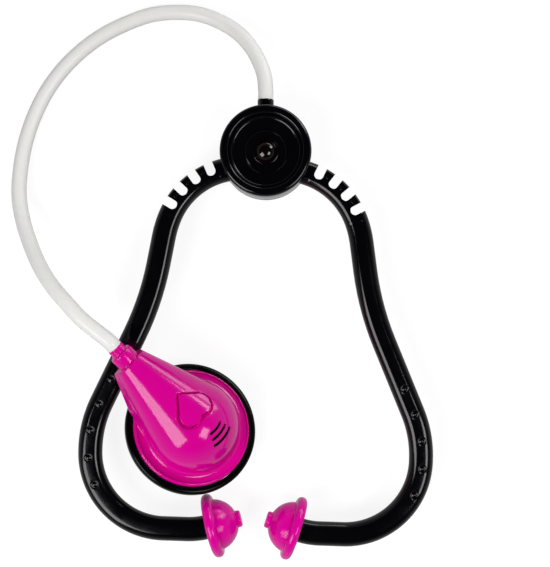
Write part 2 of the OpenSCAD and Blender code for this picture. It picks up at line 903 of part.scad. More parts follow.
module base_plate() {
  color(black) on_chest() difference() {
    union() {
      cylinder(r = edge_r, h = base_t);
      translate([0, 0, door_t]) cylinder(r = tray_r + tray_wall, h = board_z - door_t);
    }
    translate([0, 0, -overrun]) cylinder(r = door_d / 2 + door_gap, h = door_t + overrun);
    difference() {
      translate([0, 0, door_t - overrun]) cylinder(r = tray_r, h = board_z - door_t + 2 * overrun);
      rotate(base_screw_angle) translate([post_place_r, 0, door_t]) {
        cylinder(r = post_r, h = post_top - door_t);
      }
    }
    around(base_screw_count, base_screw_circle / 2, base_screw_angle) screw_room(screw_len);
    rotate(base_screw_angle) translate([post_place_r, 0, 0]) screw_room(screw_len);
  }
}

module base_screws() {
  color(steel) on_chest() around(base_screw_count, base_screw_circle / 2, base_screw_angle) {
    screw(screw_len);
  }
}

module battery_door() {
  color(black) on_chest() difference() {
    cylinder(r = door_d / 2, h = door_t);
    rotate(base_screw_angle) translate([post_place_r, 0, 0]) screw_room(screw_len);
  }
}

module battery_door_screw() {
  color(steel) on_chest() rotate(base_screw_angle) translate([post_place_r, 0, 0]) screw(screw_len);
}

module button_cells() {
  color(steel) on_chest() around(cell_count, cell_circle_r, 0) translate([0, 0, cell_z]) {
    cylinder(r = cell_d / 2 * cell_cap_share, h = cell_h);
    translate([0, 0, cell_h * (1 - cell_rim_share)]) cylinder(r = cell_d / 2, h = cell_h * cell_rim_share);
  }
}

module battery_contacts() {
  color(brass) on_chest() for (z = [contact_z, top_contact_z]) {
    translate([0, 0, z]) cylinder(r = contact_d / 2, h = contact_t);
  }
}

module circuit_board() {
  color(board_green) on_chest() translate([0, 0, board_z]) cylinder(r = board_d / 2, h = board_t);
}

// Drop of black resin over the sound chip
module sound_chip() {
  drop_r = ((chip_d / 2) ^ 2 + chip_h ^ 2) / (2 * chip_h);
  color(black) on_chest() translate([chip_place.x, chip_place.y, board_top]) intersection() {
    translate([0, 0, chip_h - drop_r]) sphere(drop_r);
    cylinder(r = drop_r, h = chip_h);
  }
}

module tact_switch() {
  color(paper) on_chest() translate([heart_x, 0, board_top]) difference() {
    translate([-switch_w / 2, -switch_w / 2, 0]) cube([switch_w, switch_w, switch_h]);
    translate([0, 0, switch_h - plunger_depth - heart_travel]) {
      cylinder(r = plunger_d / 2 + fit_gap, h = plunger_depth + heart_travel + overrun);
    }
  }
}

module switch_plunger() {
  color(black) on_chest() translate([heart_x, 0, switch_top - plunger_depth + fit_gap]) {
    cylinder(r = plunger_d / 2, h = plunger_depth + plunger_rise - fit_gap);
  }
}

// Open cup with its cone inside
module speaker_can() {
  color(steel) on_chest() translate([-speaker_x, 0, board_top]) difference() {
    cylinder(r = speaker_d / 2, h = speaker_h);
    translate([0, 0, speaker_floor]) cylinder(r = speaker_d / 2 - speaker_rim, h = speaker_h);
  }
}

module speaker_cone() {
  cone_r = speaker_d / 2 - speaker_rim - fit_gap;
  centre_share = 0.35;
  color(paper) on_chest() translate([-speaker_x, 0, board_top + speaker_floor]) rotate_extrude() {
    polygon([
      [0, 0], [cone_r * centre_share, 0], [cone_r, cone_dip],
      [cone_r, cone_dip + cone_t], [cone_r * centre_share, cone_t], [0, cone_t]
    ]);
  }
}

hub_cup();
hub_back_cover();
hub_screws();
hub_dish();
hub_stud();
left_flex_comb();
right_flex_comb();
left_arm();
right_arm();
left_ear_tip();
right_ear_tip();
tube();
tube_ferrule();
chest_shell();
rim_ring();
heart_button();
base_plate();
base_screws();
battery_door();
battery_door_screw();
button_cells();
battery_contacts();
circuit_board();
sound_chip();
tact_switch();
switch_plunger();
speaker_can();
speaker_cone();
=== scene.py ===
# %% [markdown]
# # A toy stethoscope in moulded plastic
# The imported model is the fixed frame: its bodies move, and most pieces made here ride on one of them.
# Lengths are worked out in millimetres, as in the part's source. Each finished piece is brought to
# metres.

# %% Load the frame
import math

import bmesh
import bpy
from mathutils import Matrix, Vector


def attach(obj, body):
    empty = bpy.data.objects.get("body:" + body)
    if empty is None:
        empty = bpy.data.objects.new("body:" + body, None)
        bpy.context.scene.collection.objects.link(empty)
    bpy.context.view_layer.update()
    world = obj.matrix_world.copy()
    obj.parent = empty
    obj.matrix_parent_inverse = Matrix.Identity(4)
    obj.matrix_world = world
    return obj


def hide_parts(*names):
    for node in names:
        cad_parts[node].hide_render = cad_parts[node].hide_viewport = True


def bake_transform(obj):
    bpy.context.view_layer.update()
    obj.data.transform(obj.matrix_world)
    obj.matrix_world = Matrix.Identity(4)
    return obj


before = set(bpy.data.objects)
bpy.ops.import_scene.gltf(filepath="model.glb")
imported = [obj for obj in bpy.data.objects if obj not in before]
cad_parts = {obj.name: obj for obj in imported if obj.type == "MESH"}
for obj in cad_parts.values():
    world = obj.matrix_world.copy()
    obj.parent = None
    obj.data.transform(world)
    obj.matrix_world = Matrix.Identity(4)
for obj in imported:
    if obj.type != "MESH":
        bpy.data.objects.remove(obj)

MM = 0.001
scene = bpy.context.scene
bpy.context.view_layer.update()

# %% [markdown]
# ## Camera
# The photograph was taken from straight above, from about 450 mm over the table. The camera could be
# aimed with a constraint, but a new camera already looks straight down, so it only needs its place. Its
# lens follows from the height of the picture on the table.

# %% Camera
CAMERA_X, CAMERA_Y, CAMERA_HEIGHT = 3.80, -53.45, 450
PICTURE_ROWS, MM_PER_ROW = 567, 0.42
PICTURE_HEIGHT = PICTURE_ROWS * MM_PER_ROW
SENSOR = 36

camera = bpy.data.objects.new("camera", bpy.data.cameras.new("camera"))
camera.location = (CAMERA_X * MM, CAMERA_Y * MM, CAMERA_HEIGHT * MM)
camera.data.sensor_width = SENSOR
camera.data.lens = SENSOR * CAMERA_HEIGHT / PICTURE_HEIGHT
camera.data.clip_start = 0.01
scene.collection.objects.link(camera)
scene.camera = camera
scene.view_settings.view_transform = "Standard"
print("lens", round(camera.data.lens, 2))

# %% [markdown]
# ## Places
# On the toy, two moulded groups carry most pieces: the headset, whose left arm mirrors the right one,
# and the chest piece, which leans on its ring. Empties could hold these places, but plain matrices can
# go straight into a mesh, so that every object stays at the origin. The neck has a frame of its own
# along its axis.

# %% Places
HEADSET_HEIGHT, HEADSET_TURN = 13, -1.9
CHEST_X, CHEST_Y, CHEST_HEIGHT = -31.1, -113.2, 11.4875
CHEST_HEADING, CHEST_LEAN = 139.9, 26.3
BALL_HEIGHT = 5.5
NECK_LEN, NECK_SLOPE = 37.865, 17.054
FERRULE_LEN = 8.1
SIDES = (("right", False), ("left", True))


def shift(x, y, z):
    return Matrix.Translation((x, y, z))


def turn(axis, degrees):
    return Matrix.Rotation(math.radians(degrees), 4, axis)


def headset_side(left):
    flip = Matrix.Scale(-1, 4, (1, 0, 0)) if left else Matrix()
    return shift(0, 0, HEADSET_HEIGHT) @ turn("Z", HEADSET_TURN) @ flip


CHEST = shift(CHEST_X, CHEST_Y, CHEST_HEIGHT) @ turn("Z", CHEST_HEADING) @ turn("X", CHEST_LEAN)
TO_NECK = shift(0, 0, BALL_HEIGHT) @ turn("Y", 90 - NECK_SLOPE)
NECK = CHEST @ TO_NECK
print("neck ends at", NECK @ Vector((0, 0, NECK_LEN)))

# %% [markdown]
# ## Tube
# A soft milky tube of 6.2 mm lies in one loop from the hub's collar to the ferrule. It could be a chain
# of cylinders, but a curve with a round bevel has no kinks. The route repeats the points of the part's
# source, and a smooth line is drawn through them.

# %% Tube route
ROUTE = [
    (0, 21.6, 13), (0, 25.6, 13), (-1, 33, 12), (-5, 42, 10), (-11, 49.5, 8), (-19, 55, 6),
    (-28, 58.5, 4.5), (-38, 59.5, 3.5), (-48, 58.5, 3.2), (-58, 55, 3.2), (-68, 50, 3.2), (-77, 43.5, 3.2),
    (-85, 35.5, 3.2), (-91.5, 26.5, 3.2), (-96.5, 16.5, 3.2), (-100, 6, 3.4), (-102, -5, 4),
    (-102.3, -16.5, 5.8), (-100, -27, 9.2), (-96, -36.7, 14), (-91, -45.8, 19.6), (-85, -54, 24.6),
    (-78.4, -61, 27.9), (-71.5, -68, 29.4),
]
LEAD_IN = 4
PARTS_PER_POINT = 8


def smooth_line(points, parts):
    line = []
    ends = [2 * points[0] - points[1]] + points + [2 * points[-1] - points[-2]]
    for a, b, c, d in zip(ends, ends[1:], ends[2:], ends[3:]):
        for i in range(parts):
            t = i / parts
            square = (2 * a - 5 * b + 4 * c - d) * t**2
            cube = (3 * b - a - 3 * c + d) * t**3
            line.append(0.5 * (2 * b + (c - a) * t + square + cube))
    return line + [points[-1]]


route = [Vector(p) for p in ROUTE]
route += [NECK @ Vector((0, 0, NECK_LEN + FERRULE_LEN + lead)) for lead in (LEAD_IN, 0)]
tube_line = [p * MM for p in smooth_line(route, PARTS_PER_POINT)]

# %% Tube
TUBE_R = 3.1
CAP_ANGLE = 50


def tube_mesh(name, line, radius):
    curve = bpy.data.curves.new(name, "CURVE")
    curve.dimensions = "3D"
    curve.bevel_depth = radius
    curve.bevel_resolution = 6
    curve.use_fill_caps = True
    spline = curve.splines.new("POLY")
    spline.points.add(len(line) - 1)
    for point, place in zip(spline.points, line):
        point.co = (*place, 1)
    holder = bpy.data.objects.new(name, curve)
    mesh = bpy.data.meshes.new_from_object(holder)
    bpy.data.objects.remove(holder)
    return mesh


tube = bpy.data.objects.new("soft_tube", tube_mesh("soft_tube", tube_line, TUBE_R * MM))
scene.collection.objects.link(tube)
tube.data.shade_smooth()
tube.data.set_sharp_from_angle(angle=math.radians(CAP_ANGLE))
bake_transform(tube)
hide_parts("tube")
print("tube", len(tube.data.polygons), "faces")

# %% [markdown]
# ## Lights
# The highlights in the photograph, such as the diamond on the hub's stud and the bright arcs in its
# rim, show large soft lights on both sides. Point lamps would leave small round spots, so all four are
# rectangles: a square on its corner and a card close to the table at the upper right, one at the lower
# right, and a large one at the lower left. Lights and table are placed in metres.

# %% Lights
LIGHT_DISTANCE = 0.75
LIGHT_AIM = Vector((0, -0.05, 0))


def soft_light(name, azimuth, elevation, size, power, spin=0):
    light = bpy.data.lights.new(name, "AREA")
    light.shape = "RECTANGLE"
    light.size, light.size_y = size
    light.energy = power
    lamp = bpy.data.objects.new(name, light)
    a, e = math.radians(azimuth), math.radians(elevation)
    away = Vector((math.cos(a) * math.cos(e), math.sin(a) * math.cos(e), math.sin(e)))
    lamp.location = LIGHT_AIM + LIGHT_DISTANCE * away
    facing = away.to_track_quat("Z", "Y").to_matrix().to_4x4()
    lamp.rotation_euler = (facing @ turn("Z", spin)).to_euler()
    scene.collection.objects.link(lamp)


soft_light("right_softbox", 44, 27, (0.22, 0.22), 1.2, spin=45)
soft_light("right_card", 58, 9, (0.7, 0.18), 1.8)
soft_light("low_softbox", -25, 57, (0.3, 0.22), 1.6)
soft_light("left_softbox", 219, 49, (0.4, 0.4), 3.4)

# %% [markdown]
# ## Sky
# A studio's ceiling is dark and its walls are pale. One flat grey would turn the flat black tops grey,
# so the sky fades from pale at the horizon to dark overhead: black plastic stays black, and upright
# walls pick up a pale edge. The camera itself sees white.

# %% Sky
HORIZON, HORIZON_UP_TO = 0.42, 0.05
OVERHEAD, OVERHEAD_FROM = 0.02, 0.65

world = bpy.data.worlds.new("studio")
scene.world = world
world.use_nodes = True
sky = world.node_tree
back = sky.nodes["Background"]
where = sky.nodes.new("ShaderNodeTexCoord")
height = sky.nodes.new("ShaderNodeSeparateXYZ")
ramp = sky.nodes.new("ShaderNodeValToRGB")
low_end, high_end = ramp.color_ramp.elements
low_end.position = HORIZON_UP_TO
low_end.color = (HORIZON, HORIZON, HORIZON, 1)
high_end.position = OVERHEAD_FROM
high_end.color = (OVERHEAD, OVERHEAD, OVERHEAD, 1)
path = sky.nodes.new("ShaderNodeLightPath")
show = sky.nodes.new("ShaderNodeMix")
show.data_type = "RGBA"
show.inputs["B"].default_value = (1, 1, 1, 1)
sky.links.new(where.outputs["Generated"], height.inputs["Vector"])
sky.links.new(height.outputs["Z"], ramp.inputs["Fac"])
sky.links.new(path.outputs["Is Camera Ray"], show.inputs["Factor"])
sky.links.new(ramp.outputs["Color"], show.inputs["A"])
sky.links.new(show.outputs["Result"], back.inputs["Color"])
print("sky", HORIZON, "to", OVERHEAD)

# %% [markdown]
# ## Table
# The toy lies on plain white. A bright lit floor would throw too much light up at it, so the table is a
# mid grey that shows white to the camera and half as bright in reflections. It still takes the toy's
# shadow.

# %% Table
TABLE_REACH, TABLE_LEVEL = 4, -0.0002
TABLE_GREY, TABLE_GLOW, GLOW_IN_GLOSS = 0.22, 0.87, 0.5

bm = bmesh.new()
bmesh.ops.create_grid(bm, x_segments=4, y_segments=4, size=TABLE_REACH)
bmesh.ops.translate(bm, vec=(0, 0, TABLE_LEVEL), verts=bm.verts)
table_mesh = bpy.data.meshes.new("table")
bm.to_mesh(table_mesh)
bm.free()
table = bpy.data.objects.new("table", table_mesh)
scene.collection.objects.link(table)
print("table", tuple(table.dimensions))

# %% Table white
table_white = bpy.data.materials.new("table_white")
table_white.use_nodes = True
tree = table_white.node_tree
shader = tree.nodes["Principled BSDF"]
shader.inputs["Base Color"].default_value = (TABLE_GREY, TABLE_GREY, TABLE_GREY, 1)
shader.inputs["Roughness"].default_value = 0.9
shader.inputs["Specular IOR Level"].default_value = 0.1
shader.inputs["Emission Strength"].default_value = 1
path = tree.nodes.new("ShaderNodeLightPath")
dimmed = tree.nodes.new("ShaderNodeMath")
dimmed.operation = "MULTIPLY"
dimmed.inputs[1].default_value = GLOW_IN_GLOSS
seen = tree.nodes.new("ShaderNodeMath")
seen.operation = "MAXIMUM"
also = tree.nodes.new("ShaderNodeMath")
also.operation = "MAXIMUM"
glow = tree.nodes.new("ShaderNodeMix")
glow.data_type = "RGBA"
glow.inputs["A"].default_value = (0, 0, 0, 1)
glow.inputs["B"].default_value = (TABLE_GLOW, TABLE_GLOW, TABLE_GLOW, 1)
tree.links.new(path.outputs["Is Camera Ray"], seen.inputs[0])
tree.links.new(path.outputs["Is Glossy Ray"], dimmed.inputs[0])
tree.links.new(dimmed.outputs[0], seen.inputs[1])
tree.links.new(seen.outputs[0], also.inputs[0])
tree.links.new(path.outputs["Is Transmission Ray"], also.inputs[1])
tree.links.new(also.outputs[0], glow.inputs["Factor"])
tree.links.new(glow.outputs["Result"], shader.inputs["Emission Color"])
table.data.materials.append(table_white)
print("table glows", TABLE_GLOW)

# %% [markdown]
# ## Shared effects
# Every moulded plastic has a fine skin from its mould, faint marks from hands, and a colour that drifts
# a little. Painted pictures could show these, but noise has no seams and needs no unwrapping. Each
# effect is a node group that every finish places with its own values. They read Object coordinates,
# because every piece sits at the origin.

# %% Mould skin
NUMBER, COLOUR = "NodeSocketFloat", "NodeSocketColor"


def new_group(name, ins, outs):
    tree = bpy.data.node_groups.new(name, "ShaderNodeTree")
    for label, kind, value in ins:
        tree.interface.new_socket(label, in_out="INPUT", socket_type=kind).default_value = value
    for label, kind in outs:
        tree.interface.new_socket(label, in_out="OUTPUT", socket_type=kind)
    return tree, tree.nodes.new("NodeGroupInput"), tree.nodes.new("NodeGroupOutput")


def noise_in(group, size, detail):
    coord = group.nodes.new("ShaderNodeTexCoord")
    noise = group.nodes.new("ShaderNodeTexNoise")
    noise.inputs["Detail"].default_value = detail
    group.links.new(coord.outputs["Object"], noise.inputs["Vector"])
    group.links.new(size, noise.inputs["Scale"])
    return noise


mould_skin, given, made = new_group("mould_skin", [("Size", NUMBER, 2500.0)], [("Height", NUMBER)])
grain = noise_in(mould_skin, given.outputs["Size"], 3)
mould_skin.links.new(grain.outputs["Fac"], made.inputs["Height"])
print("group", mould_skin.name)

# %% Hand marks
hand_marks, given, made = new_group(
    "hand_marks",
    [("Size", NUMBER, 90.0), ("Clean", NUMBER, 0.2), ("Touched", NUMBER, 0.3)],
    [("Roughness", NUMBER)],
)
smear = noise_in(hand_marks, given.outputs["Size"], 6)
smear.inputs["Distortion"].default_value = 0.6
spread = hand_marks.nodes.new("ShaderNodeMapRange")
spread.inputs["From Min"].default_value = 0.4
spread.inputs["From Max"].default_value = 0.7
hand_marks.links.new(smear.outputs["Fac"], spread.inputs["Value"])
hand_marks.links.new(given.outputs["Clean"], spread.inputs["To Min"])
hand_marks.links.new(given.outputs["Touched"], spread.inputs["To Max"])
hand_marks.links.new(spread.outputs["Result"], made.inputs["Roughness"])
print("group", hand_marks.name)

# %% Colour drift
colour_drift, given, made = new_group(
    "colour_drift",
    [("Size", NUMBER, 60.0), ("Main", COLOUR, (1, 1, 1, 1)), ("Other", COLOUR, (1, 1, 1, 1))],
    [("Color", COLOUR)],
)
cloud = noise_in(colour_drift, given.outputs["Size"], 4)
drift = colour_drift.nodes.new("ShaderNodeMix")
drift.data_type = "RGBA"
colour_drift.links.new(cloud.outputs["Fac"], drift.inputs["Factor"])
colour_drift.links.new(given.outputs["Main"], drift.inputs["A"])
colour_drift.links.new(given.outputs["Other"], drift.inputs["B"])
colour_drift.links.new(drift.outputs["Result"], made.inputs["Color"])
print("group", colour_drift.name)

# %% [markdown]
# ## Finishes
# The toy is glossy black and magenta plastic with softer ear tips, a rubber ring and a milky tube, and
# hides a few metal and paper pieces. Each finish could be drawn node by node, but all share the three
# effects, so one function builds them: two near colours, a clean and a touched roughness, and what else
# differs.

# %% Finishes
BUMP_STRENGTH = 0.3


def finish(name, main, other, clean, touched, skin=2500, depth=0.02, **sockets):
    material = bpy.data.materials.new(name)
    material.use_nodes = True
    tree = material.node_tree
    shader = tree.nodes["Principled BSDF"]
    placed = {}
    for group in (mould_skin, hand_marks, colour_drift):
        placed[group.name] = tree.nodes.new("ShaderNodeGroup")
        placed[group.name].node_tree = group
    placed["mould_skin"].inputs["Size"].default_value = skin
    placed["hand_marks"].inputs["Clean"].default_value = clean
    placed["hand_marks"].inputs["Touched"].default_value = touched
    placed["colour_drift"].inputs["Main"].default_value = (*main, 1)
    placed["colour_drift"].inputs["Other"].default_value = (*other, 1)
    bump = tree.nodes.new("ShaderNodeBump")
    bump.inputs["Strength"].default_value = BUMP_STRENGTH
    bump.inputs["Distance"].default_value = depth * MM
    tree.links.new(placed["mould_skin"].outputs["Height"], bump.inputs["Height"])
    tree.links.new(bump.outputs["Normal"], shader.inputs["Normal"])
    tree.links.new(placed["hand_marks"].outputs["Roughness"], shader.inputs["Roughness"])
    tree.links.new(placed["colour_drift"].outputs["Color"], shader.inputs["Base Color"])
    for socket, value in sockets.items():
        shader.inputs[socket.replace("_", " ")].default_value = value
    return material


black_gloss = finish("black_gloss", (0.0008, 0.0006, 0.0016), (0.0012, 0.0009, 0.002), 0.1, 0.18,
                     Specular_IOR_Level=0.35)
magenta_gloss = finish("magenta_gloss", (0.77, 0.0004, 0.325), (0.73, 0.0004, 0.3), 0.1, 0.15,
                       depth=0.004, Specular_IOR_Level=0.35)
soft_magenta = finish("soft_magenta", (0.82, 0.0005, 0.37), (0.78, 0.0005, 0.345), 0.1, 0.16,
                      depth=0.006, Specular_IOR_Level=0.25)
dark_rubber = finish("dark_rubber", (0.0012, 0.001, 0.0012), (0.002, 0.0018, 0.002), 0.12, 0.2,
                     depth=0.03, Specular_IOR_Level=0.12)
milky_tube = finish("milky_tube", (0.95, 0.945, 0.92), (0.92, 0.915, 0.89), 0.26, 0.36,
                    skin=900, depth=0.03, Specular_IOR_Level=0.3, Sheen_Weight=0.5, Sheen_Roughness=0.4)
stud_red = finish("stud_red", (0.0028, 0.0005, 0.0004), (0.005, 0.0007, 0.0006), 0.05, 0.08)
bright_steel = finish("bright_steel", (0.55, 0.55, 0.56), (0.48, 0.48, 0.5), 0.22, 0.36,
                      skin=4000, Metallic=1.0)
contact_brass = finish("contact_brass", (0.6, 0.44, 0.16), (0.5, 0.36, 0.12), 0.25, 0.4, Metallic=1.0)
board_green = finish("board_green", (0.012, 0.12, 0.04), (0.008, 0.09, 0.03), 0.3, 0.45)
black_resin = finish("black_resin", (0.006, 0.006, 0.006), (0.01, 0.01, 0.01), 0.2, 0.3)
grey_plastic = finish("grey_plastic", (0.05, 0.05, 0.055), (0.06, 0.06, 0.065), 0.35, 0.45)
dark_paper = finish("dark_paper", (0.03, 0.028, 0.026), (0.045, 0.042, 0.04), 0.7, 0.85,
                    skin=1200, depth=0.08)
tube.data.materials.append(milky_tube)
print("finishes", len(bpy.data.materials))

# %% [markdown]
# ## Nodes that stay
# Covers, screws and the sound unit mostly hide inside. They could be modelled again, but their solids
# have the right shape already, so they keep them and only get a finish. It is the real material, except
# on the speaker can: its dark grey stands in for painted shade, so that the slots over it stay dark.

# %% Finishes on the nodes that stay
STAYING = {
    "hub_back_cover": black_gloss, "base_plate": black_gloss, "battery_door": black_gloss,
    "hub_screws": bright_steel, "base_screws": bright_steel, "battery_door_screw": bright_steel,
    "button_cells": bright_steel, "battery_contacts": contact_brass, "circuit_board": board_green,
    "sound_chip": black_resin, "tact_switch": grey_plastic, "switch_plunger": grey_plastic,
    # the speaker can gets dark grey plastic instead of steel: painted shade that keeps the slots dark
    "speaker_can": grey_plastic, "speaker_cone": dark_paper,
}
for node, look in STAYING.items():
    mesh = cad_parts[node].data
    mesh.materials.clear()
    mesh.materials.append(look)
print("kept", sorted(STAYING))

# %% [markdown]
# ## From a bmesh to a piece
# Each piece is drawn as a bmesh in millimetres. Forms that are one moulding on the toy are united with
# a boolean, which could stay as a live modifier, but is settled at once so that the next step finds a
# plain mesh. At the end the place goes into the mesh, and the object itself sits at the origin.

# %% From a bmesh to a piece
MERGE = 1e-4


def rough_piece(bm, name):
    bmesh.ops.remove_doubles(bm, verts=bm.verts, dist=MERGE)
    bmesh.ops.recalc_face_normals(bm, faces=bm.faces)
    mesh = bpy.data.meshes.new(name)
    bm.to_mesh(mesh)
    bm.free()
    obj = bpy.data.objects.new(name, mesh)
    scene.collection.objects.link(obj)
    return obj


def settle(obj):
    shape = bpy.data.meshes.new_from_object(obj.evaluated_get(bpy.context.evaluated_depsgraph_get()))
    obj.modifiers.clear()
    obj.data = shape


def join(obj, other, how):
    step = obj.modifiers.new(how, "BOOLEAN")
    step.operation = how
    step.solver = "MANIFOLD"
    step.object = other
    settle(obj)
    bpy.data.objects.remove(other)


def soft_edges(obj, width, segments=3, angle=35):
    step = obj.modifiers.new("soft_edges", "BEVEL")
    step.width = width
    step.segments = segments
    step.limit_method = "ANGLE"
    step.angle_limit = math.radians(angle)
    settle(obj)


def put(obj, place, look, slot, *nodes, sharp=40):
    obj.data.transform(Matrix.Scale(MM, 4) @ place)
    if place.determinant() < 0:
        obj.data.flip_normals()
    obj.data.shade_smooth()
    obj.data.set_sharp_from_angle(angle=math.radians(sharp))
    obj.data.materials.clear()
    obj.data.materials.append(look)
    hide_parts(*nodes)
    print(obj.name, len(obj.data.polygons), "faces")
    return obj


print("doubles closer than", MERGE, "mm are merged")

# %% [markdown]
# ## Turned shapes
# Hub, dish, stud, ear tips, ferrule and ring are round on the toy. A cylinder could be cut and pushed
# into each of them, but a half section is quicker to read: a line of a few points whose corners are
# rounded by a vertex bevel, and a full spin that closes it.

# %% Turned shapes
CORNER_PARTS = 6


def turned(points, soft=(), closed=False, steps=128):
    bm = bmesh.new()
    verts = [bm.verts.new((r, 0, z)) for r, z in points]
    pairs = list(zip(verts, verts[1:])) + ([(verts[-1], verts[0])] if closed else [])
    for pair in pairs:
        bm.edges.new(pair)
    for corners, radius in soft:
        bmesh.ops.bevel(bm, geom=[verts[i] for i in corners], offset=radius, affect="VERTICES",
                        segments=CORNER_PARTS, profile=0.5, material=-1)
    bmesh.ops.spin(bm, geom=bm.verts[:] + bm.edges[:], cent=(0, 0, 0), axis=(0, 0, 1),
                   angle=2 * math.pi, steps=steps, use_merge=True)
    bmesh.ops.remove_doubles(bm, verts=bm.verts, dist=MERGE)
    return bm


def arc(r, z, radius, start, end, parts):
    steps = [math.radians(start + (end - start) * i / parts) for i in range(parts + 1)]
    return [(r + radius * math.cos(a), z + radius * math.sin(a)) for a in steps]


print("a quarter bend in 3 parts", [(round(r, 2), round(z, 2)) for r, z in arc(0, 0, 1, 0, 90, 3)])

# %% [markdown]
# ## Arm bar
# Stumps, combs and arms are one bar with rounded edges that bends this way and that. A bevelled curve
# could follow it, but the combs are cut and the arms carry pins, so the section is swept by spins: each
# leg is a radius and a bend in degrees, or a length with no bend.

# %% Arm bar
ARM_W, ARM_H, ARM_ROUND = 9.8, 7.4, 3.6
ARM_EDGE_PARTS = 10
DEGREES_PER_STEP = 2


def every(bm):
    return bm.verts[:] + bm.edges[:] + bm.faces[:]


def arm_section():
    bm = bmesh.new()
    bmesh.ops.create_grid(bm, x_segments=1, y_segments=1, size=0.5)
    bmesh.ops.scale(bm, vec=(ARM_W, ARM_H, 1), verts=bm.verts)
    bmesh.ops.bevel(bm, geom=bm.verts[:], offset=ARM_ROUND, affect="VERTICES",
                    segments=ARM_EDGE_PARTS, profile=0.5, material=-1)
    bmesh.ops.transform(bm, matrix=turn("Z", 90) @ turn("X", 90), verts=bm.verts)
    return bm


def leg_end(size, bend):
    if not bend:
        return shift(size, 0, 0)
    a, way = math.radians(abs(bend)), math.copysign(1, bend)
    return shift(size * math.sin(a), way * size * (1 - math.cos(a)), 0) @ turn("Z", bend)


def sweep(bm, legs):
    here = Matrix()
    last = every(bm)
    for size, bend in legs:
        way = math.copysign(1, bend)
        steps = max(1, round(abs(bend) / DEGREES_PER_STEP))
        centre = here @ Vector((0, way * size, 0))
        straight = here.to_3x3() @ Vector((size, 0, 0)) if not bend else Vector()
        last = bmesh.ops.spin(bm, geom=last, cent=centre, axis=(0, 0, way), dvec=straight,
                              angle=math.radians(abs(bend)), steps=steps)["geom_last"]
        here = here @ leg_end(size, bend)
    return here


print("arm bar", ARM_W, "by", ARM_H, "mm")

# %% [markdown]
# ## Hub
# The hub is a black cup with a rounded rim. Two stumps of the arms and the tube's collar are moulded
# on. They could be separate pieces pushed into the wall, but then the seams would show, so they are
# united with the cup.

# %% Hub cup
COMB_CENTRE = shift(8.2, -38.7, 0)
COMB_R, ROOT_ANGLE, END_ANGLE, HUB_ANGLE = 32, 71.133, 20.436, 91.963
CUP = [(16.6, 2), (18.5, 2), (18.5, 21), (14.9, 21), (14.9, 15.5), (0, 15.5), (0, 13.5), (16.6, 13.5)]
COLLAR = [(0, 0), (3.3, 0), (3.3, 4.9), (0, 4.9)]
IN_WALL = 16.7


def at_comb(angle):
    return COMB_CENTRE @ turn("Z", angle) @ shift(COMB_R, 0, 0) @ turn("Z", -90)


cup = rough_piece(turned(CUP, soft=[((2,), 1.5), ((3,), 1.0), ((1,), 0.4)], closed=True), "hub_cup_body")
for _, left in SIDES:
    stump = arm_section()
    sweep(stump, [(COMB_R, ROOT_ANGLE - HUB_ANGLE)])
    bmesh.ops.transform(stump, matrix=headset_side(left) @ at_comb(HUB_ANGLE), verts=stump.verts)
    stump = rough_piece(stump, "stump")
    keep_out = turned([(0, -2), (IN_WALL, -2), (IN_WALL, 30), (0, 30)])
    join(stump, rough_piece(keep_out, "keep_out"), "DIFFERENCE")
    join(cup, stump, "UNION")
collar = turned(COLLAR, soft=[((2,), 0.5)], steps=48)
bmesh.ops.transform(collar, matrix=shift(0, IN_WALL, HEADSET_HEIGHT) @ turn("X", -90), verts=collar.verts)
join(cup, rough_piece(collar, "collar"), "UNION")
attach(put(cup, Matrix(), black_gloss, "black_plastic", "hub_cup"), "hub")

# %% [markdown]
# ## Dish and stud
# In the cup lies a shallow dish with one fine raised ring, and a glossy domed stud with a dark red tint
# in its middle. The ring could be a bump in the finish, but a few points in the dish's half section
# catch the light from every side.

# %% Dish
DISH_FLOOR, DISH_RISE, DISH_R = 16.4, 0.7, 13
FINE_RING_R = 8.5
FINE_RING = [(0.5, 0), (0.4, 0.25), (0.15, 0.42), (-0.15, 0.42), (-0.4, 0.25), (-0.5, 0)]


def bowl(r):
    return DISH_FLOOR + DISH_RISE * (r / DISH_R)**2


line = [(0, 15.5), (14.8, 15.5), (14.8, 18.6)]
line += arc(12.9, 18.6, 1.5, 0, -85, 8)
line += [(r, bowl(r)) for r in (12, 11, 10, 9.4)]
line += [(FINE_RING_R + dr, bowl(FINE_RING_R) + dz) for dr, dz in FINE_RING]
line += [(r, bowl(r)) for r in (7.4, 6.4, 5.5)]
line += [(5.2, 16.9), (4.9, 17.0), (0, 17.0)]
dish = rough_piece(turned(line), "hub_dish_bowl")
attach(put(dish, Matrix(), black_gloss, "black_plastic", "hub_dish", sharp=25), "hub")

# %% Stud
STUD_R, STUD_RISE, STUD_TOP = 4.8, 3, 19.7
STUD_BALL = (STUD_R**2 + STUD_RISE**2) / (2 * STUD_RISE)
stud_edge = math.degrees(math.asin((STUD_BALL - STUD_RISE) / STUD_BALL))
line = [(0, STUD_TOP - STUD_RISE)] + arc(0, STUD_TOP - STUD_BALL, STUD_BALL, stud_edge, 90, 16)
stud = rough_piece(turned(line, steps=64), "hub_stud_dome")
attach(put(stud, Matrix(), stud_red, "stud_plastic", "hub_stud"), "hub")

# %% [markdown]
# ## Flex combs
# Next to the hub each arm has four notches with round floors, so that the web under them bends when the
# arms are spread. The three teeth between the notches are a little lower than the bar and have a dimple
# each. All of it could be one extruded outline, but cuts from the swept bar keep its rounded edges.

# %% Comb cuts
NOTCHES = (65.466, 53.354, 41.243, 29.132)
NOTCH_LEN, NOTCH_W, NOTCH_TALL, NOTCH_FLOOR = 12, 3.8, 20, 31.1
TEETH_R, TEETH_TOP = 31.5, 2.5
OVER_W, OVER_TALL = 10, 5
HAIR = 0.01


def upright(edge):
    return abs(edge.verts[0].co.z - edge.verts[1].co.z) > 1


